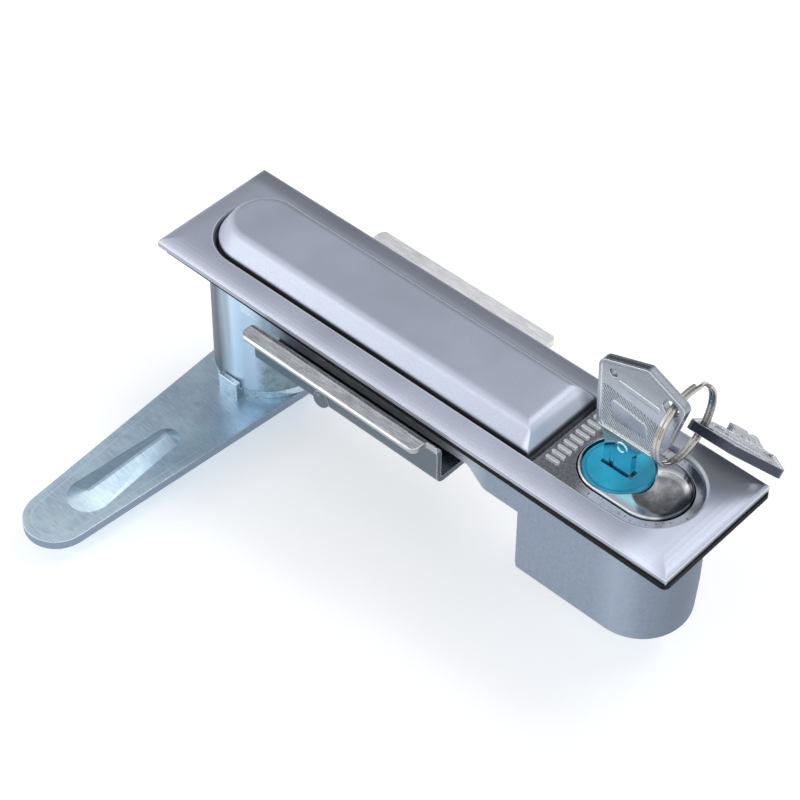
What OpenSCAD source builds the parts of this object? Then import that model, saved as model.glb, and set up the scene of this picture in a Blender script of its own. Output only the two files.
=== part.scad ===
// Flush swing-handle lock for an electrical cabinet door.
// X runs along the escutcheon towards the key end, Y across it, Z out of the door.
// The origin is the middle of the cut-out, on the outer face of the door sheet.

/* [Escutcheon] */
// Length of the escutcheon plate
plate_l = 160; // [152:1:172]
// Width of the escutcheon plate
plate_w = 37.2; // [35.5:0.1:42]
// Height of the plain side face of the plate
plate_edge_h = 1.5; // [1:0.1:2.5]
// Height of the domed bevel above the side face
bevel_h = 1.5; // [1:0.1:2]
// Width of the domed bevel
bevel_w = 5.6; // [4:0.1:5.9]
// Distance from the middle of the plate to the centre of each round pocket end
pocket_end = 61.1; // [58:0.1:63]
// Radius of the round pocket ends, half the pocket width
pocket_r = 12.25; // [12.1:0.05:12.8]
// Thickness of the rubber gasket
gasket_t = 1.5; // [1:0.1:2.5]
// Step from the plate edge in to the gasket edge, at the handle end
gasket_inset = 0.9; // [0.5:0.1:2]
// The same step at the key end, where the soft edge bulges out past the plate
gasket_inset_end = -0.4; // [-0.6:0.05:1]

/* [Housing] */
// Wall of the shallow trough around the pocket
trough_wall = 1.4; // [1.2:0.05:1.9]
// Depth of the trough floor below the door face
trough_floor_z = 7.4; // [7:0.1:7.8]
// Thickness of the trough floor
floor_t = 2; // [1.6:0.1:2.2]
// Depth of the underside of the stepped end of the trough
step_z = 15.7; // [15.2:0.1:16]
// Depth of the deep lock box
box_z = 35.3; // [33:0.1:38]
// Half width of the deep lock box
box_r = 13.5; // [13.3:0.05:13.7]
// Wall of the deep lock box
box_wall = 2; // [1.7:0.1:2.1]
// Position of the outer left face of the deep lock box
box_x = 32.3; // [31.8:0.1:32.6]
// Radius of the spindle boss at its end
boss_r = 14.8; // [14.2:0.1:15.4]
// Depth of the end of the spindle boss
boss_z = 35.9; // [34:0.1:40]

/* [Handle] */
// Half width of the handle
handle_r = 11.7; // [11.5:0.05:11.8]
// Height of the flat handle top above the door face
handle_top = 10; // [9.5:0.1:12]
// Position of the free end of the handle
handle_end = 35; // [34.6:0.1:35.1]
// Inset of the flat top from the sides of the handle
handle_slope = 3.3; // [2.5:0.1:4]
// Inset of the flat top from the free end of the handle
handle_end_slope = 2.3; // [1.5:0.1:3]
// Wall of the handle shell
handle_wall = 2; // [1.6:0.1:2.2]
// Radius of the cross pin
pin_r = 2; // [1.8:0.05:2.1]
// Height of the cross pin axis above the door face
pin_z = 1; // [0.8:0.1:1.1]

/* [Spindle and lever] */
// Radius of the spindle shaft
spindle_r = 8; // [7:0.1:8.6]
// Side of the square spindle end
square_a = 10; // [8:0.1:10.5]
// Thickness of the stop washer
stop_t = 3; // [1.8:0.1:3.4]
// Thickness of the cam lever
lever_t = 2.5; // [2:0.1:3.5]
// Distance from the spindle axis to the centre of the round lever tip
lever_reach = 73.7; // [50:0.1:90]
// Radius of the lever around the spindle
lever_hub_r = 14.2; // [13.5:0.1:16]
// Radius of the lever tip
lever_tip_r = 8.8; // [8:0.1:12]
// Height of the pressed rib
rib_h = 1.8; // [0.8:0.1:2]
// Width of the pressed rib
rib_w = 11.4; // [8:0.1:13.4]
// Length of the pressed rib
rib_l = 34.5; // [20:0.1:36]
// Across flats of the lever screw head
lever_screw_af = 10; // [9:0.5:11]

/* [Bracket] */
// Length of the clamping bracket
bracket_l = 60; // [56:0.5:62]
// Position of the middle of the bracket along the plate
bracket_x = -14.5; // [-15:0.1:-14]
// Sheet thickness of the bracket
bracket_t = 1.5; // [1.2:0.1:1.8]
// Half distance between the outer faces of the bracket walls
bracket_wall_y = 20.7; // [20:0.1:22]
// Half width over the bracket flanges
bracket_flange_y = 25.6; // [25.4:0.1:28]
// Depth of the underside of the bracket floor
bracket_z = 13.3; // [13.2:0.1:14.5]

/* [Button and cylinder] */
// Position of the lock cylinder axis
cyl_x = 51.7; // [51.5:0.1:52]
// Position of the round right end of the button
button_x = 61.5; // [61:0.1:61.8]
// Radius of the button ends
button_r = 9.3; // [9.2:0.05:9.4]
// Clearance around the button in the chrome deck
button_gap = 0.3; // [0.2:0.05:0.4]
// Height of the button rim above the door face
button_top = 4; // [3.7:0.1:4.4]
// Travel of the button
button_travel = 2.5; // [2:0.1:2.5]
// Radius of the cylinder barrel
barrel_r = 8; // [7.8:0.05:8.1]
// Radius of the turning plug
plug_r = 6; // [5.8:0.05:6.2]
// Radius of the blue cylinder cap
cap_r = 8.5; // [8.2:0.05:8.6]

/* [Keys and ring] */
// Thickness of the keys
key_t = 2; // [1.6:0.1:2.1]
// Width of the key blades
blade_w = 7.7; // [7:0.1:7.9]
// Depth of the inserted key tip below the door face
key_tip_z = 9; // [6:0.1:11]
// Radius of the ring hole in the key bow
key_hole_r = 2.2; // [1.9:0.05:2.3]
// Middle radius of the split ring
ring_r = 10; // [9.8:0.1:10.4]
// Thickness of the ring wire
ring_wire = 0.9; // [0.8:0.05:1]

/* [Hidden] */

$fn = 64;
eps = 0.01;
fit = 0.05;
seat = 0.1;

// Levels
under_z = gasket_t;
crease_z = under_z + plate_edge_h;
plate_z = crease_z + bevel_h;
trough_r = pocket_r + trough_wall;
trough_z = trough_floor_z + floor_t;
spindle_x = -pocket_end;

// Deck and button levels
deck_t = 3;
deck_top = plate_z - 1.1;
deck_z = deck_top - deck_t;
deck_x = handle_end + 1.4;
ledge = 0.75;
button_under = 4;
sleeve_z = 15;
scoop_x = button_x + 2.3;
scoop_r = 6.6;
scoop_depth = 1.8;
cap_t = 1.6;
cap_z = button_top - 0.35 - cap_t;

// Catch
catch_x = box_x + 4.2;
catch_z = 17;
catch_w = 7;
catch_pin_r = 1.2;
catch_hub_r = 2;

// Spindle column
spindle_bore_r = spindle_r + fit;
head_r = 6.4;
head_top = 5;
collar_r = 9;
thrust_t = 0.8;
stop_top = boss_z + seat;
lever_top = stop_top + stop_t;
lever_under = lever_top + lever_t;
spring_washer_t = 1.3;
lever_screw_r = 3;
lever_screw_h = 4;
lever_screw_l = 12;
spring_washer_r = lever_screw_r + 2.6;
stop_peg_r = 1.4;
stop_peg_at = 10.5;

// Bracket screws
bracket_screw_x = [bracket_x - 19.5, bracket_x + 20.5];
m4_r = 2;
bend_r = 3.2;
dimple_x = bracket_x - 7.5;
flange_short = 3;

// Keys
key_x = cyl_x + 0.05;
ring_x = 64.4;
ring_c = [ring_x, 5, 22.5];
ring_step = ring_wire + 0.06;
// How far the ring drops in the hole of the upright key, and the spare key on the ring
ring_drop = sqrt(pow(key_hole_r - 0.25, 2) - pow(0.67 * ring_wire, 2)) - 0.577 * ring_wire - 0.58;
spare_drop = sqrt(pow(key_hole_r - 0.25, 2) - pow(0.85 * ring_wire, 2)) - ring_wire / 2;
key_hole_z = ring_c[2] + sqrt(ring_r * ring_r - ring_c[1] * ring_c[1]) + ring_drop;
blade_top = 13.7;

// Spare key: how far down the ring it hangs, and its slant across the plate edge
spare_at = 45;
spare_hang = 28;

CHROME = [0.80, 0.82, 0.85];
SATIN = [0.66, 0.69, 0.75];
ZINC = [0.62, 0.70, 0.78];
STEEL = [0.72, 0.73, 0.74];
CASTING = [0.56, 0.61, 0.67];
RUBBER = [0.10, 0.10, 0.11];
BLUE = [0.04, 0.52, 0.66];
BRASS = [0.80, 0.66, 0.34];
NICKEL = [0.70, 0.70, 0.68];
NYLON = [0.88, 0.87, 0.82];

// Points on an arc, from angle a0 to a1
function arc(c, r, a0, a1, n = 8) =
    [for (i = [0:n]) let (a = a0 + (a1 - a0) * i / n) [c[0] + r * cos(a), c[1] + r * sin(a)]];

// Unit vector from a to b
function dir(a, b) = (b - a) / norm(b - a);

// One rounded corner at b, between a and c
function corner(a, b, c, r, n) =
    let (u = dir(b, a), v = dir(b, c), h = acos(u * v) / 2, m = u + v, k = m / norm(m),
         o = b + k * r / sin(h), p = b + u * r / tan(h), q = b + v * r / tan(h),
         a0 = atan2(p[1] - o[1], p[0] - o[0]), a1 = atan2(q[1] - o[1], q[0] - o[0]),
         d = a1 - a0, s = d > 180 ? d - 360 : (d < -180 ? d + 360 : d))
    r <= 0 ? [b] : arc(o, r, a0, a0 + s, n);

// Outline with rounded corners: each point is [x, y, radius]
function rounded(pts, n = 6) =
    let (k = len(pts))
    [for (i = [0:k - 1])
        let (a = pts[(i + k - 1) % k], b = pts[i], c = pts[(i + 1) % k])
        each corner([a[0], a[1]], [b[0], b[1]], [c[0], c[1]], b[2], n)];

// Outline of a lever: two circles joined by their outer tangents, along -Y
function lever_outline(r1, r2, d, n = 24) =
    let (t = asin((r1 - r2) / d))
    concat(arc([0, 0], r1, -t, 180 + t, 2 * n), arc([0, -d], r2, 180 + t, 360 - t, n));

// Extrusion of an outline in Y and Z from x0 to x1
module run_x(pts, x0, x1) {
    translate([x0, 0, 0]) rotate([90, 0, 90]) linear_extrude(x1 - x0) polygon(pts);
}

// Extrusion of an outline in X and Z, centred on Y
module run_y(pts, w) {
    rotate([90, 0, 0]) linear_extrude(w, center = true) polygon(pts);
}

// Solid of revolution at x, from an outline in radius and Z
module spun(pts, x) {
    translate([x, 0, 0]) rotate_extrude($fn = 96) polygon(pts);
}

// Mirror image of half an outline, so that it runs from -y to y
function both(half) = concat(half, [for (i = [len(half) - 1:-1:0]) [-half[i][0], half[i][1]]]);

module at_z(z) {
    translate([0, 0, z]) children();
}

module disc(r, z0, z1, x = 0, y = 0) {
    translate([x, y, z0]) cylinder(r = r, h = z1 - z0);
}

module tube(r, bore, z0, z1, x = 0, y = 0) {
    difference() {
        disc(r, z0, z1, x, y);
        disc(bore, z0 - 1, z1 + 1, x, y);
    }
}

// Upright slab with straight sides and round ends
module stadium(x0, x1, r, z0, z1) {
    disc(r, z0, z1, x0);
    disc(r, z0, z1, x1);
    translate([x0, -r, z0]) cube([x1 - x0, 2 * r, z1 - z0]);
}

module block(x0, x1, y0, y1, z0, z1) {
    translate([x0, y0, z0]) cube([x1 - x0, y1 - y0, z1 - z0]);
}

// Domed bevel of the plate: a quarter of an ellipse from the side face to the flat top
function bevel(half) =
    [for (i = [0:6]) let (a = 90 * i / 6)
        [half - bevel_w * (1 - cos(a)), crease_z + bevel_h * sin(a)]];

// Escutcheon with mitred corners
module escutcheon() {
    intersection() {
        run_x(both(concat([[plate_w / 2, under_z]], bevel(plate_w / 2))), -plate_l, plate_l);
        run_y(both(concat([[plate_l / 2, under_z]], bevel(plate_l / 2))), plate_w + 2);
    }
}

// Long side profile of the shallow trough
trough_side = rounded([
    [spindle_x, under_z + 1, 0], [spindle_x, -trough_z, 0], [box_x - 13.5, -trough_z, 3],
    [box_x - 6.9, -step_z, 2.5], [box_x + 5, -step_z, 0], [box_x + 5, under_z + 1, 0]]);

module trough_shell() {
    intersection() {
        run_x(both(rounded([[0, -step_z, 0], [trough_r, -step_z, 2.5],
                            [trough_r, under_z + 1, 0], [0, under_z + 1, 0]])),
              spindle_x, box_x + 5);
        run_y(trough_side, 3 * trough_r);
    }
    disc(trough_r, -trough_z, under_z + 1, spindle_x);
}

// Side outline of half the deep box, with its rounded lower rim
function box_half(r) = rounded([
    [0, -box_z, 0], [r - 0.5, -box_z, 1.8], [r, -box_z + 12, 8], [r, under_z + 1, 0],
    [0, under_z + 1, 0]]);

// Side view of the deep box, with its rounded back corner
module deep_box_side()
    run_y(rounded([[box_x + 0.4, -box_z, 4.6], [box_x, under_z + 1, 0],
                   [pocket_end + 20, under_z + 1, 0], [pocket_end + 20, -box_z, 0]]), 60);

module deep_box_shell() {
    intersection() {
        run_x(both(box_half(box_r)), box_x, pocket_end);
        deep_box_side();
        translate([0, 0, -box_z - 1]) linear_extrude(box_z + 5)
            polygon(rounded([[box_x, -box_r, 3.6], [pocket_end + 30, -box_r, 0],
                             [pocket_end + 30, box_r, 0], [box_x, box_r, 3.6]]));
    }
    intersection() {
        spun(box_half(box_r), pocket_end);
        block(pocket_end - eps, pocket_end + 30, -30, 30, -50, 20);
    }
}

// Room inside the deep box, open at the back
module deep_box_room() {
    inner = box_r - box_wall;
    stadium(box_x + box_wall + inner, pocket_end, inner, -box_z - 1, deck_z - seat);
    block(box_x + box_wall, box_x + box_wall + inner, -inner, inner, -box_z - 1, deck_z - seat);
}

module trough_room() {
    disc(pocket_r, -trough_floor_z, plate_z + 1, spindle_x);
    block(spindle_x, deck_x, -pocket_r, pocket_r, -trough_floor_z, plate_z + 1);
    run_y([[box_x - 13, -trough_floor_z + eps], [box_x - 5.9, -step_z + floor_t],
           [deck_x, -step_z + floor_t], [deck_x, -trough_floor_z + eps]], 20);
}

// Pillar with a screw hole, standing on the rear cover
module cover_post(x, y) {
    difference() {
        union() {
            disc(2.9, -box_z + 2, -box_z + 10, x, y);
            block(x - 3.4, x, y - 2.9, y + 2.9, -box_z + 2, -box_z + 10);
            block(x - 2.9, x + 2.9, min(y, y + sign(y) * 3.4), max(y, y + sign(y) * 3.4),
                  -box_z + 2, -box_z + 10);
        }
        disc(1.25, -box_z + 1, -box_z + 9, x, y);
    }
}

cover_screw_at = [[box_x + box_wall + 2.9, box_r - box_wall - 2.9],
                  [box_x + box_wall + 2.9, -box_r + box_wall + 2.9]];
deck_screw_at = [[deck_x + 2.9, box_r - 4.5], [deck_x + 2.9, -box_r + 4.5]];

module lock_base() color(SATIN) {
    difference() {
        union() {
            escutcheon();
            trough_shell();
            deep_box_shell();
            translate([spindle_x, 0, -boss_z])
                cylinder(r1 = boss_r, r2 = boss_r - 0.6, h = boss_z + under_z + 0.5);
            for (x = bracket_screw_x) disc(4, -bracket_z + bracket_t + seat, -trough_z + 1, x);
        }
        trough_room();
        deep_box_room();
        stadium(spindle_x, pocket_end, pocket_r, deck_z - seat, plate_z + 1);
        pocket_mouth();
        disc(spindle_bore_r, -boss_z - 1, -trough_floor_z + 1, spindle_x);
        stop_groove();
        for (x = bracket_screw_x) disc(m4_r, -bracket_z, -trough_floor_z - 0.6, x);
    }
    for (p = cover_screw_at) cover_post(p[0], p[1]);
    for (p = deck_screw_at) deck_pad(p[0], p[1]);
    for (s = [1, -1]) catch_lug(s);
}

// Chamfer around the mouth of the pocket
module pocket_mouth() {
    c = 0.5;
    for (x = [spindle_x, pocket_end])
        translate([x, 0, plate_z - c]) cylinder(r1 = pocket_r, r2 = pocket_r + c + eps, h = c + eps);
    run_x([[pocket_r, plate_z - c], [pocket_r + c + eps, plate_z + eps],
           [-pocket_r - c - eps, plate_z + eps], [-pocket_r, plate_z - c]], spindle_x, pocket_end);
}

// Quarter groove in the end of the boss, for the peg of the stop washer
module stop_groove() {
    r = stop_peg_r + 0.3;
    translate([spindle_x, 0, -boss_z - 1]) {
        rotate([0, 0, 90]) rotate_extrude(angle = 90) translate([stop_peg_at - r, 0]) square([2 * r, 3.4]);
        for (a = [90, 180]) rotate([0, 0, a]) translate([stop_peg_at, 0, 0]) cylinder(r = r, h = 3.4);
    }
}

module deck_pad(x, y) {
    s = sign(y);
    difference() {
        block(x - 2.7, x + 2.7, min(s * 6.4, s * (box_r - 1)), max(s * 6.4, s * (box_r - 1)),
              deck_z - seat - 3, deck_z - seat);
        disc(1.35, deck_z - 5, deck_z + 1, x, y);
    }
}

// Ear that carries the catch pin, on the left wall of the deep box
module catch_lug(s) {
    difference() {
        hull() {
            translate([catch_x, s * (catch_w / 2 + 1.5), -catch_z])
                rotate([90, 0, 0]) cylinder(r = catch_hub_r + 0.4, h = 2.2, center = true, $fn = 32);
            translate([box_x + 0.5, s * (catch_w / 2 + 1.5) - 1.1, -catch_z - 3.4]) cube([1, 2.2, 6.8]);
        }
        translate([catch_x, 0, -catch_z]) rotate([90, 0, 0])
            cylinder(r = catch_pin_r + 0.02, h = 60, center = true);
    }
}

module gasket() color(RUBBER) difference() {
    a = gasket_inset;
    b = gasket_inset_end;
    l = plate_l / 2;
    w = plate_w / 2;
    linear_extrude(gasket_t)
        polygon(rounded([[-l + a, -w + a, 1.5], [l - b, -w + b, 1.5], [l - b, w - b, 1.5],
                         [-l + a, w - a, 1.5]]));
    stadium(spindle_x, pocket_end, max(trough_r, box_r) + 0.15, -1, gasket_t + 1);
    disc(boss_r + 0.2, -1, gasket_t + 1, spindle_x);
}

// Half section of the handle shell, from the middle of its top to the skirt
function handle_half(inset, bottom) = let (r = handle_r - inset, t = handle_top - inset)
    rounded([[0, bottom, 0], [r, bottom, 0],
             [r, t - handle_slope * 1.43, inset > 0 ? 0.5 : 1.6], [r - handle_slope, t, 3 - inset],
             [0, t, 0]]);

// Left centre of the handle's round end, and the three levels of its skirt
handle_x0 = spindle_x + 0.5;
skirt_z = -5.5;
skirt_left_z = -1;
skirt_tail_z = 1;

module handle_solid(inset) {
    e = handle_end - inset;
    t = handle_top - inset;
    intersection() {
        run_x(both(handle_half(inset, skirt_z - inset)), handle_x0, e);
        run_y(rounded([[handle_x0 - 1, skirt_z - 9, 0], [e, skirt_z - 9, 0],
                       [e, deck_top + 0.9 - inset, inset > 0 ? 0.5 : 1.2],
                       [e - handle_end_slope, t, inset > 0 ? 1 : 3.2], [handle_x0 - 1, t, 0]]), 50);
    }
    spun(handle_half(inset, skirt_z - inset), handle_x0);
}

// Seat of the lifting spring, under the top of the shell
spring_x = -32;
spring_seat = handle_top - handle_wall - 2;

// Hook at the free end, under the shell
hook_z = 11.5;
hook_x = handle_end - 6;

module handle_hook() {
    run_y([[hook_x, handle_top - handle_wall + eps], [hook_x, -hook_z], [hook_x + 3.6, -hook_z],
           [hook_x + 5, -hook_z + 1.2], [hook_x + 5, -hook_z + 2.4], [hook_x + 2.6, -hook_z + 2.4],
           [hook_x + 2.6, handle_top - handle_wall + eps]], catch_w);
}

module handle() color(SATIN) {
    difference() {
        handle_solid(0);
        handle_solid(handle_wall);
        block(-100, handle_x0 + 12, -20, 20, skirt_z - 10, skirt_left_z);
        block(-100, spindle_x - 5, -20, 20, skirt_z - 10, skirt_tail_z);
        translate([spindle_x, 0, pin_z]) rotate([90, 0, 0])
            cylinder(r = pin_r, h = 2 * handle_r - 0.8, center = true);
    }
    difference() {
        for (s = [1, -1]) translate([spindle_x, s * (handle_r - handle_wall - 0.55), pin_z])
            rotate([90, 0, 0]) cylinder(r = pin_r + 2, h = 1.3, center = true);
        translate([spindle_x, 0, pin_z]) rotate([90, 0, 0])
            cylinder(r = pin_r, h = 2 * handle_r - 0.8, center = true);
    }
    handle_hook();
    for (x = [-42, -22, -2, 18])
        block(x - 0.75, x + 0.75, -handle_r + handle_wall - eps, handle_r - handle_wall + eps,
              handle_top - handle_wall - 3, handle_top - handle_wall + eps);
    block(handle_x0 + 12, hook_x + eps, -0.75, 0.75, handle_top - handle_wall - 2,
          handle_top - handle_wall + eps);
    disc(4.4, spring_seat, handle_top - handle_wall + eps, spring_x);
    disc(2.6, spring_seat - 1.5, spring_seat + eps, spring_x);
}

module handle_pin() color(STEEL)
    translate([spindle_x, 0, pin_z]) rotate([90, 0, 0])
        cylinder(r = pin_r - fit / 2, h = 2 * handle_r - 1, center = true);

// Path of a helical spring, with a tighter turn at each end
function coil_path(r, h, turns, steps, close) =
    [for (i = [0:turns * steps]) let (t = i / steps,
        rise = t < 1 ? close * t : (t > turns - 1 ? h - close * (turns - t) :
               close + (h - 2 * close) * (t - 1) / (turns - 2)))
        [r * cos(360 * t), r * sin(360 * t), rise]];

// Tube with a round section swept along points
module swept(path, w, sides = 6) {
    n = len(path);
    function tangent(i) = dir(path[max(i - 1, 0)], path[min(i + 1, n - 1)]);
    rings = [for (i = [0:n - 1]) let (t = tangent(i), u = dir([0, 0, 0], cross([0, 0, 1], t)),
        v = cross(t, u)) [for (k = [0:sides - 1]) let (a = 360 * k / sides)
            path[i] + w * (cos(a) * u + sin(a) * v)]];
    faces = concat([[for (k = [sides - 1:-1:0]) k]],
        [for (i = [0:n - 2], k = [0:sides - 1]) let (a = i * sides + k,
            b = i * sides + (k + 1) % sides) each [[a, b, b + sides], [a, b + sides, a + sides]]],
        [[for (k = [0:sides - 1]) (n - 1) * sides + k]]);
    polyhedron([for (r = rings) each r], faces, convexity = 10);
}

module coil_spring(r, wire, h, turns) {
    close = wire + 0.45;
    path = coil_path(r, h - wire, turns, 12, close);
    gap = min([for (i = [0:len(path) - 13]) norm(path[i + 12] - path[i])]) - wire;
    echo(spring_turns = turns, least_gap = gap);
    at_z(wire / 2) swept(path, wire / 2);
}

module lift_spring() color(STEEL)
    translate([spring_x, 0, -trough_floor_z]) coil_spring(3.4, 0.8, trough_floor_z + spring_seat, 7);

module spindle() color(ZINC) translate([spindle_x, 0, 0]) difference() {
    union() {
        rotate_extrude() polygon([
            [0, -boss_z - seat], [spindle_r, -boss_z - seat], [spindle_r, -trough_floor_z + thrust_t + 0.2],
            [collar_r, -trough_floor_z + thrust_t + 0.2], [collar_r, -trough_floor_z + 2.2],
            [head_r, -trough_floor_z + 2.2], [head_r, -1.6], [head_r - 0.3, 0.6], [head_r - 1.1, 2.4],
            [head_r - 2.3, 3.9], [head_r - 3.8, head_top], [0, head_top]]);
        block(-square_a / 2, square_a / 2, -square_a / 2, square_a / 2, -lever_under + 0.3, -boss_z);
    }
    pin_window();
    disc(lever_screw_r, -lever_under - 1, -lever_under + lever_screw_l + 2);
}

// Two opposite quarters cut out of the spindle head, so that it can turn about the cross pin
module pin_window() {
    c = pin_r + 0.3;
    for (a = [0, 180]) rotate([0, 0, a])
        block(-c, head_r + 1, -c, head_r + 1, pin_z - c, pin_z + c);
}

module thrust_washer() color(NYLON)
    tube(collar_r + 0.6, spindle_r + 0.15, -trough_floor_z + seat, -trough_floor_z + seat + thrust_t,
         spindle_x);

module stop_washer() color(ZINC) translate([spindle_x, 0, 0]) {
    difference() {
        union() {
            disc(boss_r - 0.5, -lever_top, -stop_top);
            block(-2.4, 4, -boss_r - 1.7, 0, -lever_top, -stop_top);
            block(-2.4, 4, -boss_r - 1.7, -boss_r - 0.25, -lever_top, -stop_top + 2.4);
        }
        block(-square_a / 2 - fit, square_a / 2 + fit, -square_a / 2 - fit, square_a / 2 + fit,
              -lever_top - 1, -stop_top + 1);
    }
    rotate([0, 0, 90]) disc(stop_peg_r, -stop_top - eps, -stop_top + 2, stop_peg_at);
}

// Pressed rib: two flat slopes that meet in a ridge, wide at the tip and narrow at the inner end
module lever_rib(z)
    translate([0.6, 0, z]) hull() {
        translate([0, -lever_reach + rib_w / 2 + 4, 0])
            cylinder(r1 = rib_w / 2, r2 = 0.4, h = rib_h, $fn = 48);
        translate([0, -lever_reach + rib_l - rib_w / 4 + 4, 0])
            cylinder(r1 = rib_w / 4 + 0.6, r2 = 0.4, h = rib_h, $fn = 48);
    }

module cam_lever() color(ZINC) translate([spindle_x, 0, 0]) {
    difference() {
        union() {
            at_z(-lever_under) linear_extrude(lever_t)
                polygon(lever_outline(lever_hub_r, lever_tip_r, lever_reach));
            lever_rib(-lever_top - eps);
        }
        lever_rib(-lever_under - eps);
        block(-square_a / 2 - fit, square_a / 2 + fit, -square_a / 2 - fit, square_a / 2 + fit,
              -lever_under - 1, -lever_top + 1);
    }
}

module spring_washer() color(STEEL) difference() {
    tube(spring_washer_r, lever_screw_r + 0.15, -lever_under - spring_washer_t, -lever_under, spindle_x);
    translate([spindle_x + 4.4, 0, -lever_under - 1]) rotate([0, 20, 0]) cube([4, 0.7, 5], center = true);
}

module hex_screw(r, length, af, h) {
    cylinder(r = r - fit, h = length);
    at_z(-h) intersection() {
        cylinder(r = af / sqrt(3), h = h, $fn = 6);
        rotate_extrude() polygon([[0, 0], [af / 2 - 0.3, 0], [af / sqrt(3), 0.9], [af / sqrt(3), h], [0, h]]);
    }
}

// Pan head screw with a cross recess, pointing up
module pan_screw(r, length, head_radius, h) {
    cylinder(r = r - fit, h = length);
    difference() {
        at_z(-h) rotate_extrude()
            polygon(concat([[0, 0]], arc([head_radius - 1, 1], 1, -90, 0, 5), [[head_radius, h], [0, h]]));
        for (a = [0, 90]) rotate([0, 0, a])
            translate([-head_radius * 0.55, -0.35, -h - 1]) cube([head_radius * 1.1, 0.7, 1 + h * 0.55]);
    }
}

module lever_screw() color(STEEL) translate([spindle_x, 0, -lever_under - spring_washer_t])
    hex_screw(lever_screw_r, lever_screw_l, lever_screw_af, lever_screw_h);

// Section of the bracket: two walls with outward flanges and a floor
bracket_section = let (t = bracket_t, w = bracket_wall_y, f = bracket_flange_y, z = -0.3) concat(
    [[f - 0.4, z], [f - 0.9, z]], arc([w - t + bend_r, z - bend_r], bend_r, 90, 180, 7),
    arc([w - t - 1, -bracket_z + t + 1], 1, 0, -90, 4), [[0, -bracket_z + t]]);
bracket_outer = let (t = bracket_t, w = bracket_wall_y, f = bracket_flange_y, z = -0.3) concat(
    [[0, -bracket_z]], arc([w - 2.5, -bracket_z + 2.5], 2.5, -90, 0, 5),
    arc([w - t + bend_r, z - bend_r], bend_r - t, 180, 90, 6), [[f - 0.4, z - t], [f, z - t + 0.4],
    [f, z - 0.4]]);

module mounting_bracket() color(STEEL) {
    half = concat(bracket_section, bracket_outer);
    x0 = bracket_x - bracket_l / 2;
    x1 = bracket_x + bracket_l / 2;
    difference() {
        intersection() {
            union() {
                run_x(half, x0, x1);
                mirror([0, 1, 0]) run_x(half, x0, x1);
                for (s = [1, -1]) wall_dimple(s);
            }
            translate([0, 0, -bracket_z - 1]) linear_extrude(bracket_z + 2)
                polygon(rounded([
                    [x0, -bracket_flange_y, 2.2], [x1 - flange_short, -bracket_flange_y, 2.2],
                    [x1 - flange_short, -bracket_wall_y - 0.2, 0.6], [x1, -bracket_wall_y - 0.2, 0],
                    [x1, bracket_wall_y + 0.2, 0], [x1 - flange_short, bracket_wall_y + 0.2, 0.6],
                    [x1 - flange_short, bracket_flange_y, 2.2], [x0, bracket_flange_y, 2.2]]));
        }
        for (x = bracket_screw_x) disc(m4_r + 0.25, -bracket_z - 1, -bracket_z + bracket_t + 1, x);
        for (s = [1, -1]) translate([0, -0.6 * s, 0]) wall_dimple(s);
    }
}

// Dimple pressed outwards in a wall of the bracket
module wall_dimple(s) {
    translate([dimple_x, s * (bracket_wall_y - 1.4), -bracket_z + 2.4]) rotate([s * -90, 0, 0])
        rotate_extrude() polygon([[0, 0], [2.4, 0], [2.4, 1.4], [2.1, 1.9], [1.5, 2.25], [0, 2.35]]);
}

module bracket_screws() color(STEEL)
    for (x = bracket_screw_x) translate([x, 0, -bracket_z]) pan_screw(m4_r, 5, 3.8, 2.6);

// Chrome deck beside the handle, with raised finger ribs
module button_deck() color(CHROME) {
    difference() {
        intersection() {
            stadium(spindle_x, pocket_end, pocket_r - seat, deck_z, deck_top);
            block(deck_x, 100, -30, 30, -10, 10);
        }
        stadium(cyl_x, button_x, button_r + button_gap, deck_z - 1, deck_top + 1);
        for (p = deck_screw_at) disc(1.3, deck_z - 1, deck_z + 2.2, p[0], p[1]);
    }
    for (i = [-4:4]) translate([deck_x + 3, i * 2.1, deck_top - eps])
        linear_extrude(0.5) polygon(rounded([[-1.9, -0.5, 0.4], [1.9, -0.5, 0.4], [1.9, 0.5, 0.4],
                                             [-1.9, 0.5, 0.4]], 4));
}

module deck_screws() color(STEEL)
    for (p = deck_screw_at) translate([p[0], p[1], deck_z - seat - 3]) pan_screw(1.3, 5, 2.3, 1.5);

module push_button() color(CHROME) difference() {
    union() {
        stadium(cyl_x, button_x, button_r, -button_under, button_top - 0.6);
        // rolled rim
        for (x = [cyl_x, button_x]) translate([x, 0, button_top - 0.6])
            rotate_extrude() polygon(concat([[0, 0]], arc([button_r - 0.6, 0], 0.6, 0, 90, 5), [[0, 0.6]]));
        run_x(both(concat([[0, button_top - 0.6 - eps], [button_r, button_top - 0.6 - eps]],
            arc([button_r - 0.6, button_top - 0.6], 0.6, 0, 90, 5))), cyl_x, button_x);
        disc(button_r, -sleeve_z, -button_under + eps, cyl_x);
    }
    disc(barrel_r + fit, -sleeve_z - 1, cap_z - 0.2, cyl_x);
    disc(cap_r + 0.3, cap_z - 0.25, button_top + 1, cyl_x);
    translate([scoop_x, 0, button_top - scoop_depth]) scoop();
    disc(4.6, -button_under - 1, -button_under + 0.6, button_x + 3.9);
}

// Finger scoop: a shallow spherical bowl
module scoop() {
    big = (scoop_r * scoop_r + scoop_depth * scoop_depth) / (2 * scoop_depth);
    at_z(big) sphere(r = big, $fn = 96);
}

module button_spring() color(STEEL)
    translate([button_x + 3.9, 0, -box_z + 2]) coil_spring(3.6, 0.9, box_z - 2 - button_under + 0.5, 8);

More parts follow.
